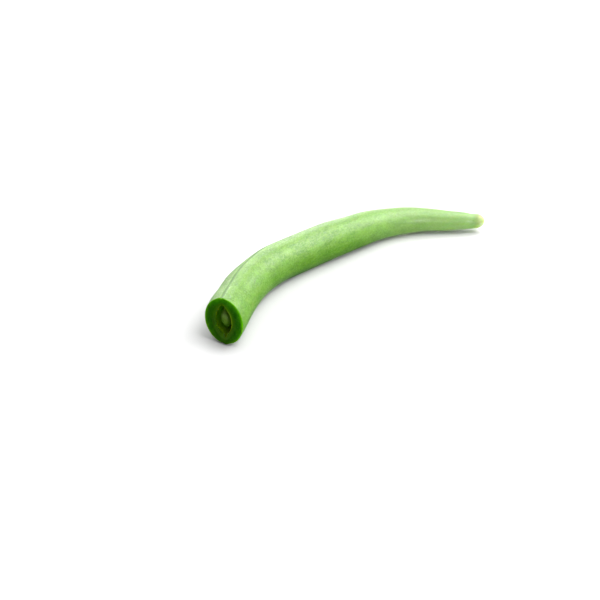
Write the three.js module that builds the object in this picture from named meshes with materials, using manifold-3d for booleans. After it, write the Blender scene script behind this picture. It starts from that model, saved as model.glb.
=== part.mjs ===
// A fresh green bean: one pod, cut across at its stem end, with a row of young seeds in its cavity.
// The pod lies on its side. Its centreline bends gently past the cut and again before the blossom end.
// Units are millimetres and degrees. +X runs from the cut end to the tip, +Z is up, and the floor is z = 0.
import * as THREE from "three";
import { mergeVertices } from "three/addons/utils/BufferGeometryUtils.js";
import Module from "manifold-3d";

// Centreline, measured along the pod from the cut
const podLength = 97.8;
const startHeading = 36.5;
const firstBend = { turn: 37, from: 2, over: 46.5 };
const secondBend = { turn: 41, from: 62, over: 24.5 };
const spineStep = 0.5;

// Outer wall
const bodyRadius = 4.5;
const cutRadius = 4.7;
const tipRadius = 1.8;
const taperStart = 38.5;
const taperPower = 2.15;
const tipCapLength = 2.2;
const neck = { depth: 0.12, fromTip: 3.4, spread: 1.3 };
const ovalShare = 0.02;
const cutSlope = { outward: 0.37, upward: 0.222, fade: 14 };

// Seams: the ventral one carries the seeds and has two lips with a groove between, the dorsal one a low rib
const seamAtCut = 81.5;
const seamAtTip = 32;
const seamTwistLength = 83;
const lip = { height: 0.18, spread: 0.85 };
const groove = { depth: 0.16, spread: 0.24 };
const rib = { height: 0.13, spread: 0.5 };

// Seeds and the cavity round them
const seedStations = [4.1, 15.6, 27.7, 39.3, 51, 62.6, 74.3];
const seed = { length: 7.4, height: 4.4, thickness: 3, dent: 0.5, blunt: 0.36, lean: 6 };
const stalk = { radius: 0.3, from: 1.6, to: 3.05, sides: 8 };
const swelling = { height: 0.2, spread: 4.8, onSeams: 0.35 };
const cavity = { reach: 0.76, narrow: 0.3, wide: 0.52, spread: 4.6, end: 82, closing: 5 };

// How it lies: the underside clears the floor except at three places, which are pressed flat
const restStations = [8, 39, 73];
const restSpread = 6;
const restGap = 0.25;
const restDip = 0.07;
const tipLift = { height: 0.6, from: 86 };

// Facets
const facetsRound = 40;
const facetsGatheredAtSeams = 0.55;
const outerRings = 44;
const neckRings = 5;
const neckLength = 4.2;
const innerRings = 34;
const closingRings = 5;
const seedFacets = { round: 16, along: 10 };

const { sin, cos, exp, sqrt, abs, PI } = Math;
const radians = THREE.MathUtils.degToRad;
const clamp01 = (t) => THREE.MathUtils.clamp(t, 0, 1);
const smooth = (t) => clamp01(t) ** 2 * (3 - 2 * clamp01(t));
const hill = (distance, spread) => exp(-((distance / spread) ** 2));
const lerp = THREE.MathUtils.lerp;

// Direction of the centreline on the floor, at a distance s from the cut.
function heading(s) {
  const first = firstBend.turn * smooth((s - firstBend.from) / firstBend.over);
  const second = secondBend.turn * smooth((s - secondBend.from) / secondBend.over);
  return radians(startHeading - first - second);
}

// Radius of the plain tube, before its seams and swellings.
function plainRadius(s) {
  if (s < taperStart) return lerp(cutRadius, bodyRadius, smooth(s / taperStart));
  const along = clamp01((s - taperStart) / (podLength - taperStart));
  const pinched = neck.depth * hill(podLength - neck.fromTip - s, neck.spread);
  return tipRadius + (bodyRadius - tipRadius) * (1 - along ** taperPower) - pinched;
}

// Share of the plain radius that the rounded blossom end still has.
function tipShare(s) {
  const along = clamp01((s - podLength + tipCapLength) / tipCapLength);
  return sqrt(1 - along * along);
}

// Angle of the ventral seam round the section: 0 is the outside of the bend and 90 is straight up.
function seamAngle(s) {
  return radians(lerp(seamAtCut, seamAtTip, smooth(s / seamTwistLength)));
}

// How strongly the nearest seeds are felt at a distance s from the cut, from 0 to about 1.
function seedsNear(s, spread) {
  return seedStations.reduce((sum, at) => sum + hill(s - at, spread) * plainRadius(at), 0) / bodyRadius;
}

// Distance from the centreline to the skin at an angle round the section.
function skinRadius(s, angle) {
  const size = plainRadius(s) / bodyRadius;
  const turn = angle - seamAngle(s);
  const onArc = abs(Math.atan2(sin(turn), cos(turn))) * bodyRadius;
  const fromRib = PI * bodyRadius - onArc;
  const seams =
    lip.height * hill(onArc, lip.spread) -
    groove.depth * hill(onArc, groove.spread) +
    rib.height * hill(fromRib, rib.spread);
  const flank = lerp(swelling.onSeams, 1, sin(turn) ** 2);
  const swollen = swelling.height * seedsNear(s, swelling.spread) * flank;
  const section = plainRadius(s) * (1 + ovalShare * cos(2 * turn));
  return (section + (seams + swollen) * size) * tipShare(s);
}

// Height of the underside over the floor.
function undersideHeight(s) {
  const contact = Math.max(...restStations.map((at) => hill(s - at, restSpread)));
  const lifted = tipLift.height * smooth((s - tipLift.from) / (podLength - tipLift.from));
  return restGap * (1 - contact) - restDip * contact + lifted;
}

// The centreline, stepped out once along its length.
const spine = [new THREE.Vector2(0, 0)];
for (let s = spineStep; s <= podLength + spineStep; s += spineStep) {
  const turned = heading(s - spineStep / 2);
  const step = new THREE.Vector2(cos(turned), sin(turned)).multiplyScalar(spineStep);
  spine.push(spine.at(-1).clone().add(step));
}

// Centre, forward direction and outward side of the section at a distance s from the cut.
function sectionAt(s) {
  const step = Math.min(s / spineStep, spine.length - 1.001);
  const before = Math.floor(step);
  const onFloor = spine[before].clone().lerp(spine[before + 1], step - before);
  const height = undersideHeight(s) + skinRadius(Math.min(s, podLength - tipCapLength), -PI / 2);
  return {
    centre: new THREE.Vector3(onFloor.x, onFloor.y, height),
    forward: new THREE.Vector3(cos(heading(s)), sin(heading(s)), 0),
    outward: new THREE.Vector3(-sin(heading(s)), cos(heading(s)), 0),
  };
}

// A point of the section, x outward and y up from the centreline. Near the cut it slides onto the slanted plane.
function sectionPoint(s, x, y) {
  const { centre, forward, outward } = sectionAt(s);
  const slant = (cutSlope.outward * x + cutSlope.upward * y) * (1 - smooth(s / cutSlope.fade));
  return centre.addScaledVector(outward, x).addScaledVector(forward, slant).setZ(centre.z + y);
}

// A point on the skin.
function skinPoint(s, angle) {
  const radius = skinRadius(s, angle);
  return sectionPoint(s, radius * cos(angle), radius * sin(angle));
}

// A point on the cavity's wall. The section is an almond that points at the two seams.
function cavityPoint(s, angle) {
  const turn = angle - seamAngle(s);
  const closed = sqrt(1 - clamp01((s - cavity.end + cavity.closing) / cavity.closing) ** 2);
  const reach = cavity.reach * plainRadius(s) * closed;
  const wide = lerp(cavity.narrow, cavity.wide, clamp01(seedsNear(s, cavity.spread)));
  const half = wide * plainRadius(s) * closed;
  const along = reach * cos(turn);
  const across = half * sin(turn) * abs(sin(turn));
  const seam = seamAngle(s);
  return sectionPoint(s, along * cos(seam) - across * sin(seam), along * sin(seam) + across * cos(seam));
}

// Angles round the section, gathered towards the two seams so that lips and groove have facets of their own.
function facetAngle(s, i) {
  const even = (2 * PI * i) / facetsRound;
  return seamAngle(s) + even - (facetsGatheredAtSeams / 2) * sin(2 * even);
}

// Stations from the cavity's blind end, out through the cut, and along the skin to the tip.
function wallStations() {
  const inner = Array.from({ length: innerRings }, (_, k) => ((cavity.end - cavity.closing) * k) / innerRings);
  const blind = Array.from({ length: closingRings + 1 }, (_, k) => {
    return cavity.end - cavity.closing * (1 - sin((PI / 2) * (k / closingRings)));
  });
  const cap = podLength - tipCapLength;
  const neckStart = cap - neckLength;
  const outer = Array.from({ length: outerRings }, (_, k) => (neckStart * k) / outerRings);
  const pinch = Array.from({ length: neckRings }, (_, k) => neckStart + (neckLength * k) / neckRings);
  const tip = Array.from({ length: closingRings + 1 }, (_, k) => {
    return cap + tipCapLength * sin((PI / 2) * (k / closingRings));
  });
  const inside = [...inner, ...blind].reverse().map((s) => ({ s, point: cavityPoint }));
  return [...inside, ...[...outer, ...pinch, ...tip].map((s) => ({ s, point: skinPoint }))];
}

// manifold-3d solids, for joining and cutting only
const wasm = await Module();
wasm.setup();

function toSolid(geometry) {
  geometry.deleteAttribute("normal");
  geometry.deleteAttribute("uv");
  const merged = mergeVertices(geometry, 1e-4);
  return new wasm.Manifold(
    new wasm.Mesh({
      numProp: 3,
      vertProperties: merged.attributes.position.array,
      triVerts: new Uint32Array(merged.index.array),
    }),
  );
}

function toGeometry(solid) {
  const mesh = solid.getMesh();
  const geometry = new THREE.BufferGeometry();
  geometry.setAttribute("position", new THREE.BufferAttribute(mesh.vertProperties, 3));
  geometry.setIndex(new THREE.BufferAttribute(mesh.triVerts, 1));
  geometry.computeVertexNormals();
  return geometry;
}

// The pod is one lathed wall, skin and cavity together, whose rings are then moved onto the bent sections.
// It is pressed flat where it touches the floor.
function podGeometry() {
  const stations = wallStations();
  const profile = stations.map(({ s }, j) => {
    const onAxis = j === 0 || j === stations.length - 1;
    return new THREE.Vector2(onAxis ? 0 : 1, s);
  });
  const wall = new THREE.LatheGeometry(profile, facetsRound);
  const position = wall.getAttribute("position");
  for (let i = 0; i <= facetsRound; i++) {
    stations.forEach(({ s, point }, j) => {
      const round = i % facetsRound;
      const p = point(s, facetAngle(s, round));
      position.setXYZ(i * stations.length + j, p.x, p.y, p.z);
    });
  }
  const floor = new THREE.BoxGeometry(3 * podLength, 3 * podLength, podLength).translate(0, 0, -podLength / 2);
  return toGeometry(toSolid(wall).subtract(toSolid(floor)));
}

// A seed is a blunt kidney with its dent, the hilum, on +Y, where a short stalk ties it to the ventral seam.
// An ellipsoid narrows along its length with the power 0.5, and a blunt seed with a lower one.
function seedGeometry(size) {
  const body = new THREE.SphereGeometry(0.5, seedFacets.round, seedFacets.along);
  body.rotateZ(PI / 2);
  body.scale(seed.length, seed.height, seed.thickness);
  const position = body.getAttribute("position");
  for (let i = 0; i < position.count; i++) {
    const x = position.getX(i);
    const fuller = Math.max(1 - (x / (seed.length / 2)) ** 2, 1e-6) ** (seed.blunt - 0.5);
    const y = position.getY(i) * fuller;
    const share = Math.max(y / (seed.height / 2), 0);
    position.setY(i, y - seed.dent * share * hill(x, seed.length / 6));
    position.setZ(i, position.getZ(i) * fuller);
  }
  const length = stalk.to - stalk.from;
  const tie = new THREE.CylinderGeometry(stalk.radius, stalk.radius, length, stalk.sides);
  tie.translate(0, stalk.from + length / 2, 0);
  const geometry = toGeometry(toSolid(body).add(toSolid(tie)));
  return geometry.scale(size, size, size);
}

// Materials
const podSkin = new THREE.MeshStandardMaterial({ color: 0x6fa83a, roughness: 0.45, metalness: 0 });
const seedCoat = new THREE.MeshStandardMaterial({ color: 0xb9d47c, roughness: 0.4, metalness: 0 });

function namedMesh(name, geometry, material) {
  const mesh = new THREE.Mesh(geometry, material);
  mesh.name = name;
  return mesh;
}

const bean = new THREE.Group();
bean.add(namedMesh("pod", podGeometry(), podSkin));

// Each seed hangs from its stalk's foot on the seam. They lean to the two flanks in turn.
seedStations.forEach((s, k) => {
  const size = plainRadius(s) / bodyRadius;
  const mesh = namedMesh(`seed_${k + 1}`, seedGeometry(size), seedCoat);
  const { centre, forward, outward } = sectionAt(s);
  const lean = radians(k % 2 === 0 ? -seed.lean : seed.lean);
  const [toFoot, toSeam] = [seamAngle(s), seamAngle(s) + lean].map((angle) =>
    outward.clone().multiplyScalar(cos(angle)).setZ(sin(angle)),
  );
  const toFlank = new THREE.Vector3().crossVectors(forward, toSeam);
  mesh.position.copy(centre).addScaledVector(toFoot.sub(toSeam), size * stalk.to);
  mesh.quaternion.setFromRotationMatrix(new THREE.Matrix4().makeBasis(forward, toSeam, toFlank));
  bean.add(mesh);
});

// The origin goes to the middle of the bean's box, on the floor.
bean.updateMatrixWorld(true);
const middle = new THREE.Box3().setFromObject(bean, true).getCenter(new THREE.Vector3());
bean.position.set(-middle.x, -middle.y, 0);

export default bean;
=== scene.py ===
# %% [markdown]
# # A fresh green bean
# This lesson dresses one snap bean: a pod that was cut across at its stem end, with its young seeds inside.
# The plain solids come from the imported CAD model, which is loaded first and never moved.
# The pod and the seeds are then modelled again, much finer, in exactly the same places.

# %% Load the frame
import math

import bmesh
import bpy
import numpy as np
from mathutils import Matrix, Vector, noise


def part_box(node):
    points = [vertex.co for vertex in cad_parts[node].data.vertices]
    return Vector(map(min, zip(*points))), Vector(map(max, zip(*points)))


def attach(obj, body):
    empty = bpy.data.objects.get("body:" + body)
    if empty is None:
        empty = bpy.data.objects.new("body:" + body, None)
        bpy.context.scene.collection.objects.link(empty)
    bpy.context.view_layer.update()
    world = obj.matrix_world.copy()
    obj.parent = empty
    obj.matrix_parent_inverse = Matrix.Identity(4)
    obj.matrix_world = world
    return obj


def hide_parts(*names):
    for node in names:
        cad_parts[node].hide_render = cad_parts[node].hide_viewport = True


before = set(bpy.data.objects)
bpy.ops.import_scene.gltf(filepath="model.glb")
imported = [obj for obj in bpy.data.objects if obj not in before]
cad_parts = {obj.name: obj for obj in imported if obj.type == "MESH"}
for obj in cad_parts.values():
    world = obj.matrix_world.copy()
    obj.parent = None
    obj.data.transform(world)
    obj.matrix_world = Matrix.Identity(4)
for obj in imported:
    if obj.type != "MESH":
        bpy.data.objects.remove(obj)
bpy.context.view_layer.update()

MM = 0.001

# %% [markdown]
# ## The camera
# A product photographer picks the lens and the height first, because both change how a long thing looks.
# A 60 mm lens, a little over twenty centimetres away and looking down by 28 degrees, makes the cut end swell
# towards us and the tip shrink away. The camera aims at a point on the table, just in front of the pod.

# %% Place the camera
LENS = 60.0
CAMERA_DISTANCE = 235.0
CAMERA_HEIGHT_ANGLE = 28.0
CAMERA_TURN = 42.55
AIM = Vector((-18.64, -4.39, 0.0))
NEAREST_SEEN = 10.0


def look_direction(turn, down):
    """The way a camera looks that is turned clockwise from +Y, and tipped down, both in degrees."""
    turn, down = math.radians(turn), math.radians(down)
    level = math.cos(down)
    return Vector((math.sin(turn) * level, math.cos(turn) * level, -math.sin(down)))


lens = bpy.data.cameras.new("studio_camera")
lens.lens = LENS
lens.clip_start = NEAREST_SEEN * MM
camera = bpy.data.objects.new("studio_camera", lens)
bpy.context.scene.collection.objects.link(camera)
looking = look_direction(CAMERA_TURN, CAMERA_HEIGHT_ANGLE)
camera.location = (AIM - looking * CAMERA_DISTANCE) * MM
camera.rotation_euler = looking.to_track_quat("-Z", "Y").to_euler()
bpy.context.scene.camera = camera
print("camera at", [round(c / MM, 1) for c in camera.location], "mm")

# %% [markdown]
# ## The pod's line
# A bean grows as one bent tube, so its shape is a line and a section that changes along that line.
# The line could be a Bezier curve, but a bend is easier to steer as a heading that turns by so many degrees
# over so many millimetres. Adding up small steps along the heading gives the line itself.
# These sizes repeat the CAD model's own, in millimetres and degrees, measured from the cut.

# %% Sizes of the pod's line
POD_LENGTH = 97.8
START_HEADING = 36.5
FIRST_TURN, FIRST_FROM, FIRST_OVER = 37.0, 2.0, 46.5
SECOND_TURN, SECOND_FROM, SECOND_OVER = 41.0, 62.0, 24.5


def smooth(t):
    """Rises from 0 to 1 without a corner at either end."""
    t = np.clip(t, 0.0, 1.0)
    return t * t * (3 - 2 * t)


def hill(distance, spread):
    """A soft bump: 1 in the middle, fading out over the spread."""
    return np.exp(-((distance / spread) ** 2))


def between(low, high, share):
    """The value a share of the way from low to high."""
    return low + (high - low) * share


def heading(station):
    """Direction of the pod on the table, in radians."""
    first = FIRST_TURN * smooth((station - FIRST_FROM) / FIRST_OVER)
    second = SECOND_TURN * smooth((station - SECOND_FROM) / SECOND_OVER)
    return np.radians(START_HEADING - first - second)


LINE_STEP = 0.1
line_stations = np.arange(0.0, POD_LENGTH + 1.0, LINE_STEP)
step_headings = heading(line_stations[:-1] + LINE_STEP / 2)
line_x = np.concatenate([[0.0], np.cumsum(np.cos(step_headings)) * LINE_STEP])
line_y = np.concatenate([[0.0], np.cumsum(np.sin(step_headings)) * LINE_STEP])
print("the line ends", round(float(np.hypot(line_x[-1], line_y[-1])), 1), "mm from the cut")

# %% [markdown]
# ## The pod's section
# A snap bean is nearly round. On the seam that carries the seeds two low lips stand up with a groove between
# them, and on the opposite side runs a low rib. Each seed swells the wall a little. All of this is one radius
# that depends on where we are along the pod and round it.

# %% Sizes of the section
BODY_RADIUS = 4.5
CUT_RADIUS = 4.7
TIP_RADIUS = 1.8
TAPER_START = 38.5
TAPER_POWER = 2.15
TIP_CAP_LENGTH = 2.2
CAP_START = POD_LENGTH - TIP_CAP_LENGTH
NECK_DEPTH, NECK_FROM_TIP, NECK_SPREAD = 0.12, 3.4, 1.3
OVAL_SHARE = 0.02
SEAM_AT_CUT, SEAM_AT_TIP, SEAM_TWIST_LENGTH = 81.5, 32.0, 83.0
LIP_HEIGHT, LIP_SPREAD = 0.18, 0.85
GROOVE_DEPTH, GROOVE_SPREAD = 0.16, 0.24
RIB_HEIGHT, RIB_SPREAD = 0.13, 0.5
SEED_STATIONS = (4.1, 15.6, 27.7, 39.3, 51.0, 62.6, 74.3)
SWELLING_HEIGHT, SWELLING_SPREAD, SWELLING_ON_SEAMS = 0.2, 4.8, 0.35


def plain_radius(station):
    """Radius of the plain tube, before its seams and swellings."""
    near_cut = between(CUT_RADIUS, BODY_RADIUS, smooth(station / TAPER_START))
    along = np.clip((station - TAPER_START) / (POD_LENGTH - TAPER_START), 0.0, 1.0)
    pinched = NECK_DEPTH * hill(POD_LENGTH - NECK_FROM_TIP - station, NECK_SPREAD)
    taper = TIP_RADIUS + (BODY_RADIUS - TIP_RADIUS) * (1 - along**TAPER_POWER) - pinched
    return np.where(station < TAPER_START, near_cut, taper)


def seam_angle(station):
    """Angle of the seed-bearing seam: 0 is the outside of the bend and 90 degrees is straight up."""
    return np.radians(between(SEAM_AT_CUT, SEAM_AT_TIP, smooth(station / SEAM_TWIST_LENGTH)))


def seeds_near(station, spread):
    """How strongly the nearest seeds are felt, from 0 to about 1."""
    felt = [hill(station - at, spread) * plain_radius(at) for at in SEED_STATIONS]
    return np.sum(felt, axis=0) / BODY_RADIUS


def seam_distance(station, angle):
    """Distance from the seam over the skin, in millimetres of the middle section."""
    turn = angle - seam_angle(station)
    return np.abs(np.arctan2(np.sin(turn), np.cos(turn))) * BODY_RADIUS


def skin_radius(station, angle):
    """Distance from the pod's line to its skin, at an angle round the section."""
    turn = angle - seam_angle(station)
    from_seam = seam_distance(station, angle)
    from_rib = math.pi * BODY_RADIUS - from_seam
    seams = LIP_HEIGHT * hill(from_seam, LIP_SPREAD) - GROOVE_DEPTH * hill(from_seam, GROOVE_SPREAD)
    seams = seams + RIB_HEIGHT * hill(from_rib, RIB_SPREAD)
    flank = between(SWELLING_ON_SEAMS, 1.0, np.sin(turn) ** 2)
    swollen = SWELLING_HEIGHT * seeds_near(station, SWELLING_SPREAD) * flank
    section = plain_radius(station) * (1 + OVAL_SHARE * np.cos(2 * turn))
    return section + (seams + swollen) * plain_radius(station) / BODY_RADIUS


print("thickness in the middle:", round(2 * float(plain_radius(POD_LENGTH / 2)), 2), "mm")

# %% [markdown]
# ## The cavity
# Inside, the pod holds an almond-shaped cavity that points at both seams. It is wider round each seed and
# narrows between them, and it ends well before the tip.

# %% Sizes of the cavity
CAVITY_REACH = 0.76
CAVITY_NARROW, CAVITY_WIDE, CAVITY_SPREAD = 0.3, 0.52, 4.6
CAVITY_END, CAVITY_CLOSING = 82.0, 5.0


def cavity_section(station, angle):
    """A point of the cavity's wall in the section: how far out, and how far up."""
    seam = seam_angle(station)
    turn = angle - seam
    wide = between(CAVITY_NARROW, CAVITY_WIDE, np.clip(seeds_near(station, CAVITY_SPREAD), 0, 1))
    along = CAVITY_REACH * plain_radius(station) * np.cos(turn)
    across = wide * plain_radius(station) * np.sin(turn) * np.abs(np.sin(turn))
    out = along * np.cos(seam) - across * np.sin(seam)
    up = along * np.sin(seam) + across * np.cos(seam)
    return out, up


print("the cavity opens", round(2 * CAVITY_REACH * CUT_RADIUS, 2), "mm high at the cut")

# %% [markdown]
# ## How the bean lies
# A bent bean touches the table at only three places, where its own weight presses it a little flat.
# Between them its underside clears the table by a quarter of a millimetre, and the tip turns up.
# The knife went through at a slant, so near the cut every section leans towards the slanted plane.

# %% Lay a section on the table
REST_STATIONS = (8.0, 39.0, 73.0)
REST_SPREAD = 6.0
REST_GAP, REST_DIP = 0.25, 0.07
TIP_LIFT, TIP_LIFT_FROM = 0.6, 86.0
CUT_LEAN_OUTWARD, CUT_LEAN_UPWARD, CUT_LEAN_FADE = 0.37, 0.222, 14.0


def underside_height(station):
    """Height of the underside over the table."""
    contact = np.max([hill(station - at, REST_SPREAD) for at in REST_STATIONS], axis=0)
    lifted = TIP_LIFT * smooth((station - TIP_LIFT_FROM) / (POD_LENGTH - TIP_LIFT_FROM))
    return REST_GAP * (1 - contact) - REST_DIP * contact + lifted


def centre_height(station):
    """Height of the pod's line over the table."""
    return underside_height(station) + skin_radius(np.minimum(station, CAP_START), -math.pi / 2)


def on_table(station, out, up):
    """A point of the section at that station, laid along the bent line: an array of x, y and z."""
    turned = heading(station)
    lean = (CUT_LEAN_OUTWARD * out + CUT_LEAN_UPWARD * up) * (1 - smooth(station / CUT_LEAN_FADE))
    x = np.interp(station, line_stations, line_x) - out * np.sin(turned) + lean * np.cos(turned)
    y = np.interp(station, line_stations, line_y) + out * np.cos(turned) + lean * np.sin(turned)
    return np.stack([x, y, centre_height(station) + up], axis=-1)


print("the line starts", round(float(centre_height(0.0)), 2), "mm over the table")

# %% [markdown]
# ## A straight blank for the pod
# The pod could be skinned over a curve, but then the wall, the cut face and the cavity would be separate
# surfaces. Instead a straight blank is turned first, as on a lathe: an outline is drawn once, from the
# cavity's closed end out over the cut and along the skin to the tip, and Spin sweeps it round.
# The two round ends are arcs, made by spinning a single vertex.

# %% Draw the outline of the blank
FACETS_ROUND = 144
BLANK_CAVITY_RADIUS = 2.0
LINING_SEEN_DEPTH = 12.0
CAP_RINGS, CLOSED_END_RINGS = 18, 8
CLOSE = 0.001


def round_off(bm, vert, length, rings):
    """Spins a vertex of the outline over to the axis, as a quarter of an ellipse of that length."""
    radius, station = vert.co.x, vert.co.z
    before = set(bm.verts)
    bmesh.ops.spin(bm, geom=[vert], cent=(0, 0, station), axis=(0, 1, 0), angle=-math.pi / 2, steps=rings)
    arc = [v for v in bm.verts if v not in before]
    bmesh.ops.scale(bm, vec=(1, 1, length / radius), space=Matrix.Translation((0, 0, -station)), verts=arc)


def spun_blank():
    """The straight pod with its axis on Z, its cut at 0, and the seed-bearing seam on +X."""
    bm = bmesh.new()
    corners = [
        (BLANK_CAVITY_RADIUS, CAVITY_END - CAVITY_CLOSING),
        (BLANK_CAVITY_RADIUS, LINING_SEEN_DEPTH),
        (BLANK_CAVITY_RADIUS, 0.0),
        (BODY_RADIUS, 0.0),
        (BODY_RADIUS, CAP_START),
    ]
    outline = [bm.verts.new((radius, 0.0, station)) for radius, station in corners]
    for a, b in zip(outline, outline[1:]):
        bm.edges.new((a, b))
    round_off(bm, outline[0], CAVITY_CLOSING, CLOSED_END_RINGS)
    round_off(bm, outline[-1], TIP_CAP_LENGTH, CAP_RINGS)
    bmesh.ops.spin(
        bm,
        geom=bm.verts[:] + bm.edges[:],
        cent=(0, 0, 0),
        axis=(0, 0, 1),
        angle=2 * math.pi,
        steps=FACETS_ROUND,
        use_merge=True,
    )
    bmesh.ops.remove_doubles(bm, verts=bm.verts[:], dist=CLOSE)
    return bm


blank = spun_blank()
print("spun:", len(blank.verts), "vertices round a blank of", POD_LENGTH, "mm")

# %% [markdown]
# ## Round its edges, and cut rings into it
# A knife leaves an edge that is sharp to the finger, yet catches a thread of light, so both edges of the cut
# are bevelled by less than a fifth of a millimetre. The faces of the blank still run from end to end. Loop
# cuts give every millimetre of it enough rings for fine relief, and fewer deep inside, where nobody looks.

# %% Finish the blank
RIM_ROUNDING, MOUTH_ROUNDING, ROUNDING_SEGMENTS = 0.14, 0.18, 4
SKIN_RING_PITCH, CUT_RING_PITCH = 0.26, 0.15
LINING_RING_PITCH, HIDDEN_RING_PITCH = 0.3, 1.2


def add_rings(bm, edges, pitch):
    """Loop cuts across edges of equal length, about a pitch apart."""
    cuts = max(0, round(edges[0].calc_length() / pitch) - 1)
    bmesh.ops.subdivide_edges(bm, edges=edges, cuts=cuts, use_grid_fill=True)
    return cuts


def edges_between(bm, radius, low, high):
    """Lengthwise edges of the blank at that radius, from one station to another."""
    found = []
    for e in bm.edges:
        ends = sorted(v.co.z for v in e.verts)
        at_radius = all(abs(math.hypot(v.co.x, v.co.y) - radius) < CLOSE for v in e.verts)
        if at_radius and ends[1] - ends[0] > CLOSE and ends[0] > low - CLOSE and ends[1] < high + CLOSE:
            found.append(e)
    return found


def edge_ring(bm, radius, station):
    """Edges that go round the blank at that radius and station."""
    found = []
    for e in bm.edges:
        at_radius = all(abs(math.hypot(v.co.x, v.co.y) - radius) < CLOSE for v in e.verts)
        if at_radius and all(abs(v.co.z - station) < CLOSE for v in e.verts):
            found.append(e)
    return found


def round_edges(bm):
    """Bevels the two edges that the knife left: the rim of the skin and the mouth of the cavity."""
    for radius, rounding in ((BODY_RADIUS, RIM_ROUNDING), (BLANK_CAVITY_RADIUS, MOUTH_ROUNDING)):
        bmesh.ops.bevel(
            bm,
            geom=edge_ring(bm, radius, 0.0),
            offset=rounding,
            segments=ROUNDING_SEGMENTS,
            profile=0.5,
            affect="EDGES",
            material=-1,
        )


def cut_rings(bm):
    """Cuts rings into the skin, the lining and the cut face, each at its own pitch."""
    inner_end = CAVITY_END - CAVITY_CLOSING
    add_rings(bm, edges_between(bm, BODY_RADIUS, 0.0, CAP_START), SKIN_RING_PITCH)
    add_rings(bm, edges_between(bm, BLANK_CAVITY_RADIUS, 0.0, LINING_SEEN_DEPTH), LINING_RING_PITCH)
    add_rings(bm, edges_between(bm, BLANK_CAVITY_RADIUS, LINING_SEEN_DEPTH, inner_end), HIDDEN_RING_PITCH)
    across_cut = [
        e
        for e in bm.edges
        if all(abs(v.co.z) < CLOSE for v in e.verts)
        and abs(e.verts[0].co.xy.length - e.verts[1].co.xy.length) > CUT_RING_PITCH
    ]
    add_rings(bm, across_cut, CUT_RING_PITCH)


round_edges(blank)
cut_rings(blank)
bmesh.ops.recalc_face_normals(blank, faces=blank.faces[:])
print("blank:", len(blank.verts), "vertices,", len(blank.faces), "faces")

# %% [markdown]
# ## Skin relief
# Seen closely a pod is never a perfect tube: it wavers, it has shallow dimples, and fine ridges run along it.
# Bump mapping could fake all of that, but the outline and the exported mesh would stay smooth. So what is
# wider than a third of a millimetre is moved in the mesh, and only the finer grain is left to the material.
# The noise is read on the straightened pod, so that its ridges follow the bend. The knife also drags fine
# marks over the cut, and the soft lining sinks back a little from it.

# %% Sizes of the relief
FACETS_GATHERED_AT_SEAMS = 0.55
WAVER = {"height": 0.07, "along": 11.0, "round": 6.0, "seed": 3.0}
DIMPLES = {"height": 0.028, "along": 2.4, "round": 1.7, "seed": 17.0}
RIDGES = {"height": 0.016, "along": 9.0, "round": 0.8, "seed": 41.0}
PITH = {"height": 0.07, "along": 0.9, "round": 0.7, "seed": 59.0}
KNIFE_DRAG = {"height": 0.02, "along": 1.6, "round": 0.35, "seed": 71.0}
LINING_SETTLED, LINING_SETTLED_SHARE = 0.22, 0.4
SKIN_FROM, RIM_FROM, LINING_TO = 0.9, 0.85, 0.3


def rough(straight, relief):
    """Noise on the straightened pod, stretched along it, as a height in millimetres for each point."""
    scale = Vector((1 / relief["along"], 1 / relief["round"], 1 / relief["round"]))
    shift = Vector((relief["seed"], -relief["seed"], relief["seed"]))
    heights = [noise.noise(Vector(point) * scale + shift) for point in straight]
    return relief["height"] * np.array(heights)


print("deepest relief:", max(kind["height"] for kind in (WAVER, DIMPLES, RIDGES, PITH, KNIFE_DRAG)), "mm")

# %% [markdown]
# ## Bend the blank
# Every point of the blank says three things: how far it is along the pod, at which angle round it, and which
# share of the wall it is at, from the cavity to the skin. Those three are enough to lay it on the bean.
# They are also kept on the mesh as attributes, because the materials paint by them.

# %% Move every point of the blank to its place


def bent(points):
    """The blank's points on the bean in millimetres, and the two sets of numbers that the materials read."""
    x, y, station = points.T
    radius = np.hypot(x, y)
    even = np.arctan2(y, x)
    turn = even - FACETS_GATHERED_AT_SEAMS / 2 * np.sin(2 * even)
    angle = seam_angle(station) + turn
    thickness = plain_radius(station)
    straight = np.stack([station, thickness * np.cos(turn), thickness * np.sin(turn)], axis=-1)

    wall = (radius - BLANK_CAVITY_RADIUS) / (BODY_RADIUS - BLANK_CAVITY_RADIUS)
    wall = np.where(station > CAVITY_END, 1.0, np.clip(wall, 0.0, 1.0))
    on_skin = smooth((wall - SKIN_FROM) / (1 - SKIN_FROM))
    on_lining = 1 - smooth(wall / LINING_TO)
    on_cut = (1 - smooth(station / RIM_ROUNDING)) * (1 - smooth((wall - RIM_FROM) / (1 - RIM_FROM)))

    settled = LINING_SETTLED * (1 - smooth(wall / LINING_SETTLED_SHARE))
    laid_at = station + on_cut * (settled + rough(straight * wall[:, None], KNIFE_DRAG))

    relief = sum(rough(straight, kind) for kind in (WAVER, DIMPLES, RIDGES))
    skin = skin_radius(station, angle) + relief * on_skin * thickness / BODY_RADIUS
    skin = skin * np.where(station > CAP_START, radius / BODY_RADIUS, 1.0)
    closing = np.minimum(radius / BLANK_CAVITY_RADIUS, 1.0) * (1 + rough(straight, PITH) * on_lining)
    cavity_out, cavity_up = cavity_section(station, angle)
    out = between(cavity_out * closing, skin * np.cos(angle), wall)
    up = between(cavity_up * closing, skin * np.sin(angle), wall)
    place = np.stack([POD_LENGTH - station, np.abs(turn) * thickness, wall], axis=-1)
    return on_table(laid_at, out, up), straight, place


def keep_numbers(mesh, name, values):
    """Stores three numbers for every point of a mesh."""
    attribute = mesh.attributes.new(name, "FLOAT_VECTOR", "POINT")
    attribute.data.foreach_set("vector", values.astype(np.float32).ravel())


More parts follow.
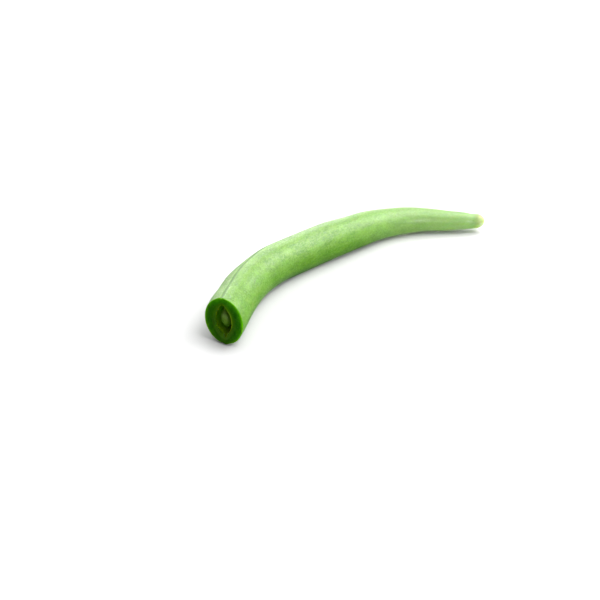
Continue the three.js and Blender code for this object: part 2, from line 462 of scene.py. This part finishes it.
SKIN_FACES, CUT_FACES = 0, 1
for face in blank.faces:
    outside = all(v.co.xy.length > BODY_RADIUS - CLOSE or v.co.z > CAP_START for v in face.verts)
    face.material_index = SKIN_FACES if outside else CUT_FACES

pod_mesh = bpy.data.meshes.new("bean_pod")
blank.to_mesh(pod_mesh)
blank.free()
blank_points = np.empty(3 * len(pod_mesh.vertices))
pod_mesh.vertices.foreach_get("co", blank_points)
pod_points, pod_straight, pod_place = bent(blank_points.reshape(-1, 3))
pod_points[:, 2] = np.maximum(pod_points[:, 2], 0.0)

# %% [markdown]
# The line was drawn from the cut, but the CAD model's origin is the middle of its box. So the whole pod
# slides until its own box has the same middle.

# %% Put the pod where its solid is
pod_low, pod_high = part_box("pod")
box_middle = (pod_points.min(axis=0) + pod_points.max(axis=0)) / 2
slide = np.array([*((pod_low + pod_high) / 2 / MM)])[:2] - box_middle[:2]
pod_points[:, :2] += slide
pod_mesh.vertices.foreach_set("co", (pod_points * MM).astype(np.float32).ravel())
keep_numbers(pod_mesh, "straight", pod_straight)
keep_numbers(pod_mesh, "place", pod_place)
pod_mesh.update()
pod_mesh.shade_smooth()
pod = bpy.data.objects.new("bean_pod", pod_mesh)
bpy.context.scene.collection.objects.link(pod)
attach(pod, "root")
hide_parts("pod")
print("pod box in mm:", np.round(pod_points.max(axis=0) - pod_points.min(axis=0), 2))

# %% [markdown]
# ## The young seeds
# In a bean picked young the seeds are small, flat kidneys with blunt ends. The dent, where the stalk holds
# on, faces the seam. A UV sphere is only the lump to start from: it is scaled to the seed's three sizes, its
# ends are filled out, and the dent is pushed in, with the seed a little thicker beside it.

# %% Shape a seed
SEED_LENGTH, SEED_HEIGHT, SEED_THICKNESS = 7.4, 4.4, 3.0
SEED_FACETS_ROUND, SEED_FACETS_ALONG = 48, 32
ROUND_END, BLUNT_END = 0.5, 0.36
SEED_DENT, DENT_SPREAD = 0.5, SEED_LENGTH / 6
THICKER_BESIDE_DENT, THICKER_SPREAD = 0.22, SEED_LENGTH / 7
TINY = 1e-6


def shape_seed(bm):
    """Makes a flat kidney with its length on X and its dent towards +Y."""
    bmesh.ops.create_uvsphere(bm, u_segments=SEED_FACETS_ROUND, v_segments=SEED_FACETS_ALONG, radius=0.5)
    bmesh.ops.rotate(bm, verts=bm.verts[:], matrix=Matrix.Rotation(math.pi / 2, 3, "Y"))
    bmesh.ops.scale(bm, verts=bm.verts[:], vec=(SEED_LENGTH, SEED_HEIGHT, SEED_THICKNESS))
    for v in bm.verts:
        narrowed = max(1 - (v.co.x / (SEED_LENGTH / 2)) ** 2, TINY)
        v.co.yz = v.co.yz * narrowed ** (BLUNT_END - ROUND_END)
        towards_seam = max(v.co.y / (SEED_HEIGHT / 2), 0.0)
        v.co.y -= SEED_DENT * towards_seam * float(hill(v.co.x, DENT_SPREAD))
        v.co.z *= 1 + THICKER_BESIDE_DENT * towards_seam * float(hill(v.co.x, THICKER_SPREAD) - 0.5)


print("a seed:", (SEED_LENGTH, SEED_HEIGHT, SEED_THICKNESS), "mm, where the pod is", 2 * BODY_RADIUS, "mm")

# %% [markdown]
# ## Stalks, and a place in the pod
# A short stalk ties every seed to the seam. A separate cylinder would show a crease where it meets the seed,
# so the faces at the bottom of the dent are pulled out instead, and the last ring flares against the seam.
# The seeds lean to the two flanks of the seam in turn, and they shrink with the pod's thickness.

# %% Make the seeds
STALK_RADIUS, STALK_END, STALK_RINGS, STALK_FLARE = 0.3, 3.44, 6, 1.8
SEED_LEAN, LEANS_ABOUT = 6.0, 3.05


def pull_out_stalk(bm):
    """Pulls the faces at the bottom of a seed's dent out to the seam."""
    foot = [
        f
        for f in bm.faces
        if f.calc_center_median().y > 0 and f.calc_center_median().xz.length < STALK_RADIUS
    ]
    foot = bmesh.ops.dissolve_faces(bm, faces=foot, use_verts=True)["region"]
    start = max(v.co.y for v in foot[0].verts)
    for ring in range(1, STALK_RINGS + 1):
        foot = bmesh.ops.extrude_discrete_faces(bm, faces=foot)["faces"]
        flare = STALK_FLARE if ring == STALK_RINGS else 1.0
        for v in foot[0].verts:
            v.co.y = between(start, STALK_END, ring / STALK_RINGS)
            v.co.x *= flare
            v.co.z *= flare


def hang_in_pod(bm, station, lean):
    """Turns a seed's stalk to the seam, leans the seed, and takes it to its station, in metres."""
    size = float(plain_radius(station)) / BODY_RADIUS
    bmesh.ops.scale(bm, verts=bm.verts[:], vec=(size, size, size))
    turned = float(heading(station))
    seam = float(seam_angle(station))
    forward = Vector((math.cos(turned), math.sin(turned), 0))
    outward = Vector((-math.sin(turned), math.cos(turned), 0))
    to_foot, to_seam = (outward * math.cos(a) + Vector((0, 0, math.sin(a))) for a in (seam, seam + lean))
    basis = Matrix((forward, to_seam, forward.cross(to_seam))).transposed()
    bmesh.ops.rotate(bm, verts=bm.verts[:], matrix=basis)
    x, y = np.interp(station, line_stations, line_x), np.interp(station, line_stations, line_y)
    middle = Vector((float(x) + slide[0], float(y) + slide[1], float(centre_height(station))))
    bmesh.ops.translate(bm, verts=bm.verts[:], vec=middle + (to_foot - to_seam) * size * LEANS_ABOUT)
    bmesh.ops.scale(bm, verts=bm.verts[:], vec=(MM, MM, MM))


def young_seed(k, station):
    """One seed with its stalk, in place of the solid with that number."""
    bm = bmesh.new()
    shape_seed(bm)
    pull_out_stalk(bm)
    hang_in_pod(bm, station, math.radians(-SEED_LEAN if k % 2 else SEED_LEAN))
    bmesh.ops.recalc_face_normals(bm, faces=bm.faces[:])
    mesh = bpy.data.meshes.new(f"young_seed_{k}")
    bm.to_mesh(mesh)
    bm.free()
    mesh.shade_smooth()
    seed = bpy.data.objects.new(f"young_seed_{k}", mesh)
    bpy.context.scene.collection.objects.link(seed)
    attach(seed, "root")
    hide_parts(f"seed_{k}")
    return seed


seeds = [young_seed(k, station) for k, station in enumerate(SEED_STATIONS, start=1)]
print(len(seeds), "seeds of", len(seeds[0].data.polygons), "faces")

# %% [markdown]
# ## Painting by nodes
# A material is a small tree of nodes, and wiring each one by hand hides what the tree does. So one helper
# adds a node with its settings and inputs, one mixes two colours, one multiplies two masks, and one sets the
# numbers that are the same all over a piece. The one used most, mask, turns a distance in millimetres or a
# noise into a number from 0 to 1, and draws nearly every band and spot on the bean.

# %% Helpers for node trees


def add(tree, kind, inputs=None, **settings):
    """Adds a node. An input is either another node's socket or a plain value."""
    made = tree.nodes.new(kind)
    for name, value in settings.items():
        setattr(made, name, value)
    for name, value in (inputs or {}).items():
        if isinstance(value, bpy.types.NodeSocket):
            tree.links.new(value, made.inputs[name])
        else:
            made.inputs[name].default_value = value
    return made


def set_evenly(shader, values):
    """Sets the numbers that are the same all over a piece, on the shader's own sockets."""
    for name, value in values.items():
        shader.inputs[name].default_value = value


MIX_SHARE, MIX_FIRST, MIX_SECOND, MIX_RESULT = 0, 6, 7, 2


def mix(tree, share, first, second, blend="MIX"):
    """Two colours mixed by a share that may be a mask. Colours are sockets or red, green and blue."""
    colours = [(*value, 1.0) if isinstance(value, tuple) else value for value in (first, second)]
    inputs = {MIX_SHARE: share, MIX_FIRST: colours[0], MIX_SECOND: colours[1]}
    return add(tree, "ShaderNodeMix", inputs, data_type="RGBA", blend_type=blend).outputs[MIX_RESULT]


def mask(tree, value, none_at, full_at, strength=1.0, weakest=0.0):
    """The weakest mask where the value is at none_at, rising smoothly to strength where it is at full_at."""
    inputs = {"Value": value, "From Min": none_at, "From Max": full_at, "To Min": weakest, "To Max": strength}
    return add(tree, "ShaderNodeMapRange", inputs, interpolation_type="SMOOTHSTEP").outputs["Result"]


def times(tree, first, second):
    """The product of two masks or numbers."""
    return add(tree, "ShaderNodeMath", {0: first, 1: second}, operation="MULTIPLY").outputs[0]


def spread_over(tree, value, low, high):
    """The value, from 0 to 1, spread evenly from low to high."""
    return add(tree, "ShaderNodeMapRange", {"Value": value, "To Min": low, "To Max": high}).outputs["Result"]


def bump(tree, height, strength, depth):
    """The normals of a relief that is at most that many metres deep."""
    inputs = {"Height": height, "Strength": strength, "Distance": depth}
    return add(tree, "ShaderNodeBump", inputs).outputs["Normal"]


print("helpers: add, set_evenly, mix, mask, times, spread_over and bump")

# %% [markdown]
# ## Where the paint goes
# A pattern needs a place to be read at. The pod carries its own numbers from the bending, so that its bands
# follow the bend. Seeds and cut flesh have no direction of their own, and read plain Object coordinates.

# %% Helpers for materials


def new_material(name):
    """A material, its tree and its Principled BSDF."""
    material = bpy.data.materials.new(name)
    material.use_nodes = True
    tree = material.node_tree
    return material, tree, tree.nodes["Principled BSDF"]


def numbers(tree, name):
    """The three numbers that the mesh keeps under that name, as a vector."""
    return add(tree, "ShaderNodeAttribute", attribute_type="GEOMETRY", attribute_name=name).outputs["Vector"]


def object_place(tree):
    """Object coordinates in millimetres."""
    position = add(tree, "ShaderNodeTexCoord").outputs["Object"]
    inputs = {0: position, "Scale": 1 / MM}
    return add(tree, "ShaderNodeVectorMath", inputs, operation="SCALE").outputs[0]


def group(name, inputs, outputs):
    """An empty node group with named sockets, and its two end nodes."""
    tree = bpy.data.node_groups.new(name, "ShaderNodeTree")
    for socket, kind in inputs.items():
        tree.interface.new_socket(name=socket, in_out="INPUT", socket_type=kind)
    for socket, kind in outputs.items():
        tree.interface.new_socket(name=socket, in_out="OUTPUT", socket_type=kind)
    return tree, tree.nodes.new("NodeGroupInput").outputs, tree.nodes.new("NodeGroupOutput").inputs


print("the pod's attributes:", [a.name for a in pod_mesh.attributes if a.data_type == "FLOAT_VECTOR"])

# %% [markdown]
# ## Grain along the pod
# Plant cells are longer than they are wide, so everything fine on a bean is drawn out along it. One group
# makes such a grain at any size. It divides the straightened position by the size, more so along the pod,
# and reads noise there. Skin, cut flesh and seeds all use it, each at its own size.

# %% The grain group
VECTOR, NUMBER, COLOUR = "NodeSocketVector", "NodeSocketFloat", "NodeSocketColor"
GRAIN_DETAIL = 2.0

grain_tree, grain_in, grain_out = group(
    "cell_grain", {"Position": VECTOR, "Size": NUMBER, "Stretch": NUMBER}, {"Grain": NUMBER}
)
along_size = times(grain_tree, grain_in["Size"], grain_in["Stretch"])
three_sizes = {"X": along_size, "Y": grain_in["Size"], "Z": grain_in["Size"]}
sizes = add(grain_tree, "ShaderNodeCombineXYZ", three_sizes).outputs[0]
divided = {0: grain_in["Position"], 1: sizes}
scaled = add(grain_tree, "ShaderNodeVectorMath", divided, operation="DIVIDE").outputs[0]
grain_noise = add(grain_tree, "ShaderNodeTexNoise", {"Vector": scaled, "Scale": 1.0, "Detail": GRAIN_DETAIL})
grain_tree.links.new(grain_noise.outputs["Fac"], grain_out["Grain"])


def grain(tree, position, size, stretch=1.0):
    """The grain of that size in millimetres, from 0 to 1 and mostly near a half."""
    inputs = {"Position": position, "Size": size, "Stretch": stretch}
    return add(tree, "ShaderNodeGroup", inputs, node_tree=grain_tree).outputs["Grain"]


print("group", grain_tree.name, "has", len(grain_tree.nodes), "nodes")

# %% [markdown]
# ## Living green
# No plant is one green. Broad patches differ a little, thin streaks run with the veins, and each cell
# catches the light by itself. The second group lays these three over each other, from a deep and a pale
# green, and the materials give it their own two colours.

# %% The green group
PATCH_STRETCH, PATCHES = 1.8, {"none_at": 0.35, "full_at": 0.65, "strength": 0.75, "weakest": 0.25}
STREAK_GRAIN, STREAKS = {"size": 0.55, "stretch": 14.0}, {"none_at": 0.5, "full_at": 0.75, "strength": 0.25}
SPECKLE_STRETCH, SPECKLE_SHADE = 1.7, (0.58, 0.68, 0.25)
DARK_SPECKLES = {"none_at": 0.5, "full_at": 0.37, "strength": 0.5}
PALE_SPECKLES = {"none_at": 0.52, "full_at": 0.65, "strength": 0.4}

green_tree, green_in, green_out = group(
    "living_green",
    {"Position": VECTOR, "Deep": COLOUR, "Pale": COLOUR, "Patch Size": NUMBER, "Speckle Size": NUMBER},
    {"Colour": COLOUR, "Speckle": NUMBER},
)
patch_grain = grain(green_tree, green_in["Position"], green_in["Patch Size"], PATCH_STRETCH)
green = mix(green_tree, mask(green_tree, patch_grain, **PATCHES), green_in["Deep"], green_in["Pale"])
streak_grain = grain(green_tree, green_in["Position"], **STREAK_GRAIN)
green = mix(green_tree, mask(green_tree, streak_grain, **STREAKS), green, green_in["Pale"])
speckle_grain = grain(green_tree, green_in["Position"], green_in["Speckle Size"], SPECKLE_STRETCH)
green = mix(green_tree, mask(green_tree, speckle_grain, **DARK_SPECKLES), green, SPECKLE_SHADE, "MULTIPLY")
green = mix(green_tree, mask(green_tree, speckle_grain, **PALE_SPECKLES), green, green_in["Pale"])
green_tree.links.new(green, green_out["Colour"])
green_tree.links.new(speckle_grain, green_out["Speckle"])


def living_green(tree, position, deep, pale, patch_size, speckle_size):
    """The living green at that position: its colour and its speckle."""
    inputs = {"Position": position, "Deep": (*deep, 1.0), "Pale": (*pale, 1.0)}
    inputs |= {"Patch Size": patch_size, "Speckle Size": speckle_size}
    made = add(tree, "ShaderNodeGroup", inputs, node_tree=green_tree)
    return made.outputs["Colour"], made.outputs["Speckle"]


print("group", green_tree.name, "has", len(green_tree.nodes), "nodes")

# %% [markdown]
# ## The colours of the skin
# Over the living green lie the pale band of the seam, with a thin dark line in its groove, and a fainter
# band on the rib. Far from the stem less green forms, so the pod pales towards its tip and ends yellowish.
# All of these follow two distances that the mesh carries: to the tip, and to the seam over the skin. An
# image could hold the same bands, but it would blur when the camera comes close, and masks never do.

# %% Paint the skin
SKIN_DEEP, SKIN_PALE = (0.077, 0.205, 0.008), (0.157, 0.315, 0.03)
SKIN_PATCH, SKIN_SPECKLE = 1.7, 0.42
SEAM_PALE, SEAM_DARK = (0.18, 0.34, 0.06), (0.045, 0.14, 0.001)
SEAM_BAND = {"none_at": 1.5, "full_at": 0.35, "strength": 0.2}
GROOVE_LINE = {"none_at": 0.5, "full_at": 0.1, "strength": 0.9}
GROOVE_GRAIN, GROOVE_BREAKS = {"size": 0.8, "stretch": 6.0}, {"none_at": 0.25, "full_at": 0.5}
HALF_ROUND = math.pi * BODY_RADIUS
RIB_BAND = {"none_at": 0.93 * HALF_ROUND, "full_at": HALF_ROUND, "strength": 0.2}
TIP_GREEN, TIP_PALE, TIP_END = (0.205, 0.34, 0.1), (0.29, 0.33, 0.13), (0.36, 0.34, 0.16)
GREEN_FADES = {"none_at": 45.0, "full_at": 4.0, "strength": 0.75}
TIP_PALES = {"none_at": 3.6, "full_at": 1.2, "strength": 0.9}
END_PALES = {"none_at": 0.9, "full_at": 0.2, "strength": 0.8}

skin_material, tree, skin_shader = new_material("green_skin")
straight = numbers(tree, "straight")
place = add(tree, "ShaderNodeSeparateXYZ", {"Vector": numbers(tree, "place")})
to_tip, from_seam = place.outputs["X"], place.outputs["Y"]
colour, speckle = living_green(tree, straight, SKIN_DEEP, SKIN_PALE, SKIN_PATCH, SKIN_SPECKLE)
colour = mix(tree, mask(tree, from_seam, **SEAM_BAND), colour, SEAM_PALE)
groove_breaks = mask(tree, grain(tree, straight, **GROOVE_GRAIN), **GROOVE_BREAKS)
groove_line = times(tree, mask(tree, from_seam, **GROOVE_LINE), groove_breaks)
colour = mix(tree, groove_line, colour, SEAM_DARK)
colour = mix(tree, mask(tree, from_seam, **RIB_BAND), colour, SEAM_PALE)
colour = mix(tree, mask(tree, to_tip, **GREEN_FADES), colour, TIP_GREEN)
colour = mix(tree, mask(tree, to_tip, **TIP_PALES), colour, TIP_PALE)
colour = mix(tree, mask(tree, to_tip, **END_PALES), colour, TIP_END)
tree.links.new(colour, skin_shader.inputs["Base Color"])
print("colours of the skin:", len(tree.nodes), "nodes")

# %% [markdown]
# ## The shine of the skin
# Fresh skin is satin. A thin coat of wax breaks into glints, cell by cell, and misses the groove. A fine down
# turns the skin pale where we look along it, which is what sheen is for. Below that the flesh lets a little
# light through, and green light goes furthest, so the shadows stay a fresh green. The finest relief is a
# bump, because facets fine enough for it would be too many.

# %% Finish the skin
GLINT_GRAIN = {"size": 0.3, "stretch": 1.5}
GLINTS = {"none_at": 0.48, "full_at": 0.62, "strength": 0.65, "weakest": 0.1}
OUT_OF_GROOVE = {"none_at": 0.3, "full_at": 0.0}
ROUGH_SKIN, SMOOTH_SKIN = 0.5, 0.38
SKIN_GRAIN, SKIN_BUMP = {"size": 0.4, "stretch": 1.5}, {"strength": 0.5, "depth": 0.0001}
SKIN_EVENLY = {
    "Specular IOR Level": 0.33,
    "Subsurface Weight": 0.7,
    "Subsurface Radius": (0.45, 1.0, 0.06),
    "Subsurface Scale": 0.0035,
    "Sheen Weight": 0.14,
    "Sheen Roughness": 0.45,
    "Sheen Tint": (0.9, 1.0, 0.85, 1.0),
    "Coat Roughness": 0.32,
}

glints = mask(tree, grain(tree, straight, **GLINT_GRAIN), **GLINTS)
glints = times(tree, glints, mask(tree, groove_line, **OUT_OF_GROOVE))
tree.links.new(glints, skin_shader.inputs["Coat Weight"])
tree.links.new(spread_over(tree, speckle, ROUGH_SKIN, SMOOTH_SKIN), skin_shader.inputs["Roughness"])
tree.links.new(bump(tree, grain(tree, straight, **SKIN_GRAIN), **SKIN_BUMP), skin_shader.inputs["Normal"])
set_evenly(skin_shader, SKIN_EVENLY)
print("the whole skin:", len(tree.nodes), "nodes")

# %% [markdown]
# ## The cut
# The knife shows the wall in rings: a thin brighter line of skin at the rim, the green flesh with its tiny
# veins, and a yellower, spongier lining round the cavity. The wall share, which every point carries, says
# which ring it is in, and a little noise keeps the rings from being perfect. Flesh, rim and lining are all
# painted far darker greens than fresh flesh has, as painted shade, and the cut faces away from the lights.
# Its long subsurface scale lets light that enters the lit skin come out again here, so the rim glows and the
# cavity isn't black.

# %% Paint the cut flesh and the lining
# Painted shade: these flesh, rim and lining greens are far darker than lit bean flesh.
SHADED_FLESH_DEEP, SHADED_FLESH_PALE = (0.017, 0.12, 0.001), (0.05, 0.18, 0.001)
FLESH_PATCH, FLESH_SPECKLE = 1.2, 0.18
SHADED_RIM_COLOUR, SHADED_LINING_COLOUR, INSIDE_COLOUR = (0.09, 0.28, 0.003), (0.06, 0.165, 0.003), (0.28, 0.42, 0.02)
VEIN_COLOUR, VEIN_CELLS = (0.08, 0.20, 0.02), {"Scale": 1.4, "Randomness": 0.9}
VEIN_DOTS = {"none_at": 0.24, "full_at": 0.12, "strength": 0.6}
VEINS_IN_WALL = {"none_at": 0.9, "full_at": 0.75}
RAGGED_GRAIN, RAGGED_SHARE = 0.5, 0.22
LINING_RING = {"none_at": 0.52, "full_at": 0.34}
INSIDE = {"none_at": POD_LENGTH - 0.25, "full_at": POD_LENGTH - 1.6}
RIM_RING = {"none_at": 0.85, "full_at": 0.98, "strength": 0.8}
WET_FLESH, DULL_FLESH = 0.3, 0.5
FLESH_BUMP = {"strength": 0.6, "depth": 0.00008}
FLESH_EVENLY = {
    "Specular IOR Level": 0.06,
    "Subsurface Weight": 1.0,
    "Subsurface Radius": (0.8, 1.0, 0.05),
    "Subsurface Scale": 0.008,
}

cut_material, tree, cut_shader = new_material("cut_flesh_painted_shade")
place = add(tree, "ShaderNodeSeparateXYZ", {"Vector": numbers(tree, "place")})
to_tip, wall_share = place.outputs["X"], place.outputs["Z"]
position = object_place(tree)
raggedness = {0: grain(tree, position, RAGGED_GRAIN), 1: RAGGED_SHARE, 2: wall_share}
ring = add(tree, "ShaderNodeMath", raggedness, operation="MULTIPLY_ADD").outputs[0]
colour, speckle = living_green(tree, position, SHADED_FLESH_DEEP, SHADED_FLESH_PALE, FLESH_PATCH, FLESH_SPECKLE)
veins = add(tree, "ShaderNodeTexVoronoi", {"Vector": position, **VEIN_CELLS}).outputs["Distance"]
vein_dots = times(tree, mask(tree, veins, **VEIN_DOTS), mask(tree, wall_share, **VEINS_IN_WALL))
colour = mix(tree, vein_dots, colour, VEIN_COLOUR)
colour = mix(tree, mask(tree, ring, **LINING_RING), colour, SHADED_LINING_COLOUR)
colour = mix(tree, mask(tree, to_tip, **INSIDE), colour, INSIDE_COLOUR)
colour = mix(tree, mask(tree, wall_share, **RIM_RING), colour, SHADED_RIM_COLOUR)
tree.links.new(colour, cut_shader.inputs["Base Color"])
tree.links.new(spread_over(tree, speckle, WET_FLESH, DULL_FLESH), cut_shader.inputs["Roughness"])
tree.links.new(bump(tree, speckle, **FLESH_BUMP), cut_shader.inputs["Normal"])
set_evenly(cut_shader, FLESH_EVENLY)
print("the cut:", len(tree.nodes), "nodes")

# %% [markdown]
# ## The seed coats
# A young seed is pale, wet and nearly see-through. Its two greens here are darker than a lit seed's: partly
# its own colour, partly painted shade of the cavity. It has no rings and no bands, so the living green on its
# Object coordinates is enough, with a smoother finish than the skin's, and light that runs through it.

# %% Paint the seeds and give every piece its material
# Seed greens: the seed's own colour, darkened in part as painted shade.
SEED_DEEP_AND_SHADE, SEED_PALE_AND_SHADE = (0.13, 0.24, 0.02), (0.22, 0.34, 0.05)
SEED_PATCH, SEED_SPECKLE = 2.0, 0.25
WET_SEED, DULL_SEED = 0.24, 0.38
SEED_BUMP = {"strength": 0.3, "depth": 0.00004}
SEED_EVENLY = {
    "Specular IOR Level": 0.25,
    "Subsurface Weight": 0.5,
    "Subsurface Radius": (0.6, 1.0, 0.2),
    "Subsurface Scale": 0.0012,
}

seed_material, tree, seed_shader = new_material("seed_coat")
colour, speckle = living_green(tree, object_place(tree), SEED_DEEP_AND_SHADE, SEED_PALE_AND_SHADE, SEED_PATCH, SEED_SPECKLE)
tree.links.new(colour, seed_shader.inputs["Base Color"])
tree.links.new(spread_over(tree, speckle, WET_SEED, DULL_SEED), seed_shader.inputs["Roughness"])
tree.links.new(bump(tree, speckle, **SEED_BUMP), seed_shader.inputs["Normal"])
set_evenly(seed_shader, SEED_EVENLY)

pod_mesh.materials.append(skin_material)
pod_mesh.materials.append(cut_material)
for seed in seeds:
    seed.data.materials.append(seed_material)
print("materials:", [m.name for m in bpy.data.materials if m.users])

# %% [markdown]
# ## The table
# A photographer lays food on a white sheet that is bright enough to lose its edge, and puts cards beside it
# to send light back. Here no cards stand: the camera sees the table white, and every other ray finds a colour
# painted on it instead, dark green near the cut as painted shade that keeps the cut dark, and pale near the
# tip as painted fill light for the underside of the far half. One mask along the table blends the two.

# %% Lay the table
TABLE_SIZE = 1400.0
TABLE_WHITE = (0.6, 0.6, 0.6)
# Painted bounce on the table: painted shade near the cut, painted fill light near the tip.
SHADE_BOUNCE_AT_CUT, FILL_BOUNCE_AT_TIP = (0.05, 0.16, 0.01), (0.8, 0.83, 0.74)
BOUNCE_COLOURS_MEET = {"none_at": 10.0, "full_at": 36.0}
TABLE_EVENLY = {"Roughness": 0.5, "Specular IOR Level": 0.1}

table_bm = bmesh.new()
bmesh.ops.create_grid(table_bm, x_segments=1, y_segments=1, size=TABLE_SIZE / 2 * MM)
table_mesh = bpy.data.meshes.new("table")
table_bm.to_mesh(table_mesh)
table_bm.free()
table = bpy.data.objects.new("table", table_mesh)
bpy.context.scene.collection.objects.link(table)
table_material, tree, table_shader = new_material("white_table")
table_place = add(tree, "ShaderNodeSeparateXYZ", {"Vector": object_place(tree)}).outputs["X"]
painted_bounce = mix(tree, mask(tree, table_place, **BOUNCE_COLOURS_MEET), SHADE_BOUNCE_AT_CUT, FILL_BOUNCE_AT_TIP)
seen = add(tree, "ShaderNodeLightPath").outputs["Is Camera Ray"]
tree.links.new(mix(tree, seen, painted_bounce, TABLE_WHITE), table_shader.inputs["Base Color"])
set_evenly(table_shader, TABLE_EVENLY)
table_mesh.materials.append(table_material)

# %% [markdown]
# ## The studio
# The main light is a wide softbox high on the camera's right. A second wide one stands behind, and draws the
# pale edge along the top. A small one in front, with its beam kept narrow as by a honeycomb grid, lights the
# far half only. The sky is a white tent: mirrored in the skin it is bright, but it lights softly, so that the
# softboxes still model the round pod.

# %% Set the lights
KEY = {"turn": 115.0, "down": -50.0, "distance": 1200.0, "size": 1300.0, "power": 33.0}
BACK = {"turn": 20.0, "down": -38.0, "distance": 1300.0, "size": 1400.0, "power": 18.0}
FRONT = {"turn": 184.0, "down": -17.0, "distance": 300.0, "size": 110.0, "power": 0.022, "spread": 22.0}
FRONT_AIM = (21.0, 0.0, 3.0)
SKY_STRENGTH, SKY_SEEN = 0.3, 1.0
WHITE = (1.0, 1.0, 1.0, 1.0)


def softbox(name, turn, down, distance, size, power, spread=180.0, aim=(0.0, 0.0, 0.0)):
    """A square light that far from its aim, on the side that a look with that turn and tip points to."""
    light = bpy.data.lights.new(name, "AREA")
    light.shape = "SQUARE"
    light.size = size * MM
    light.energy = power
    light.spread = math.radians(spread)
    lamp = bpy.data.objects.new(name, light)
    away = look_direction(turn, down)
    lamp.location = (Vector(aim) + away * distance) * MM
    lamp.rotation_euler = (-away).to_track_quat("-Z", "Y").to_euler()
    bpy.context.scene.collection.objects.link(lamp)
    return lamp


lamps = [
    softbox("key_softbox", **KEY),
    softbox("back_softbox", **BACK),
    softbox("front_softbox", **FRONT, aim=FRONT_AIM),
]
sky = bpy.data.worlds.new("studio_sky")
sky.use_nodes = True
sky_light = sky.node_tree.nodes["Background"]
sky_light.inputs["Color"].default_value = WHITE
spread_ray = add(sky.node_tree, "ShaderNodeLightPath").outputs["Is Diffuse Ray"]
brightness = mask(sky.node_tree, spread_ray, 1.0, 0.0, SKY_SEEN, weakest=SKY_STRENGTH)
sky.node_tree.links.new(brightness, sky_light.inputs["Strength"])
bpy.context.scene.world = sky
bpy.context.scene.view_settings.view_transform = "Standard"
print("lights:", [lamp.name for lamp in lamps])
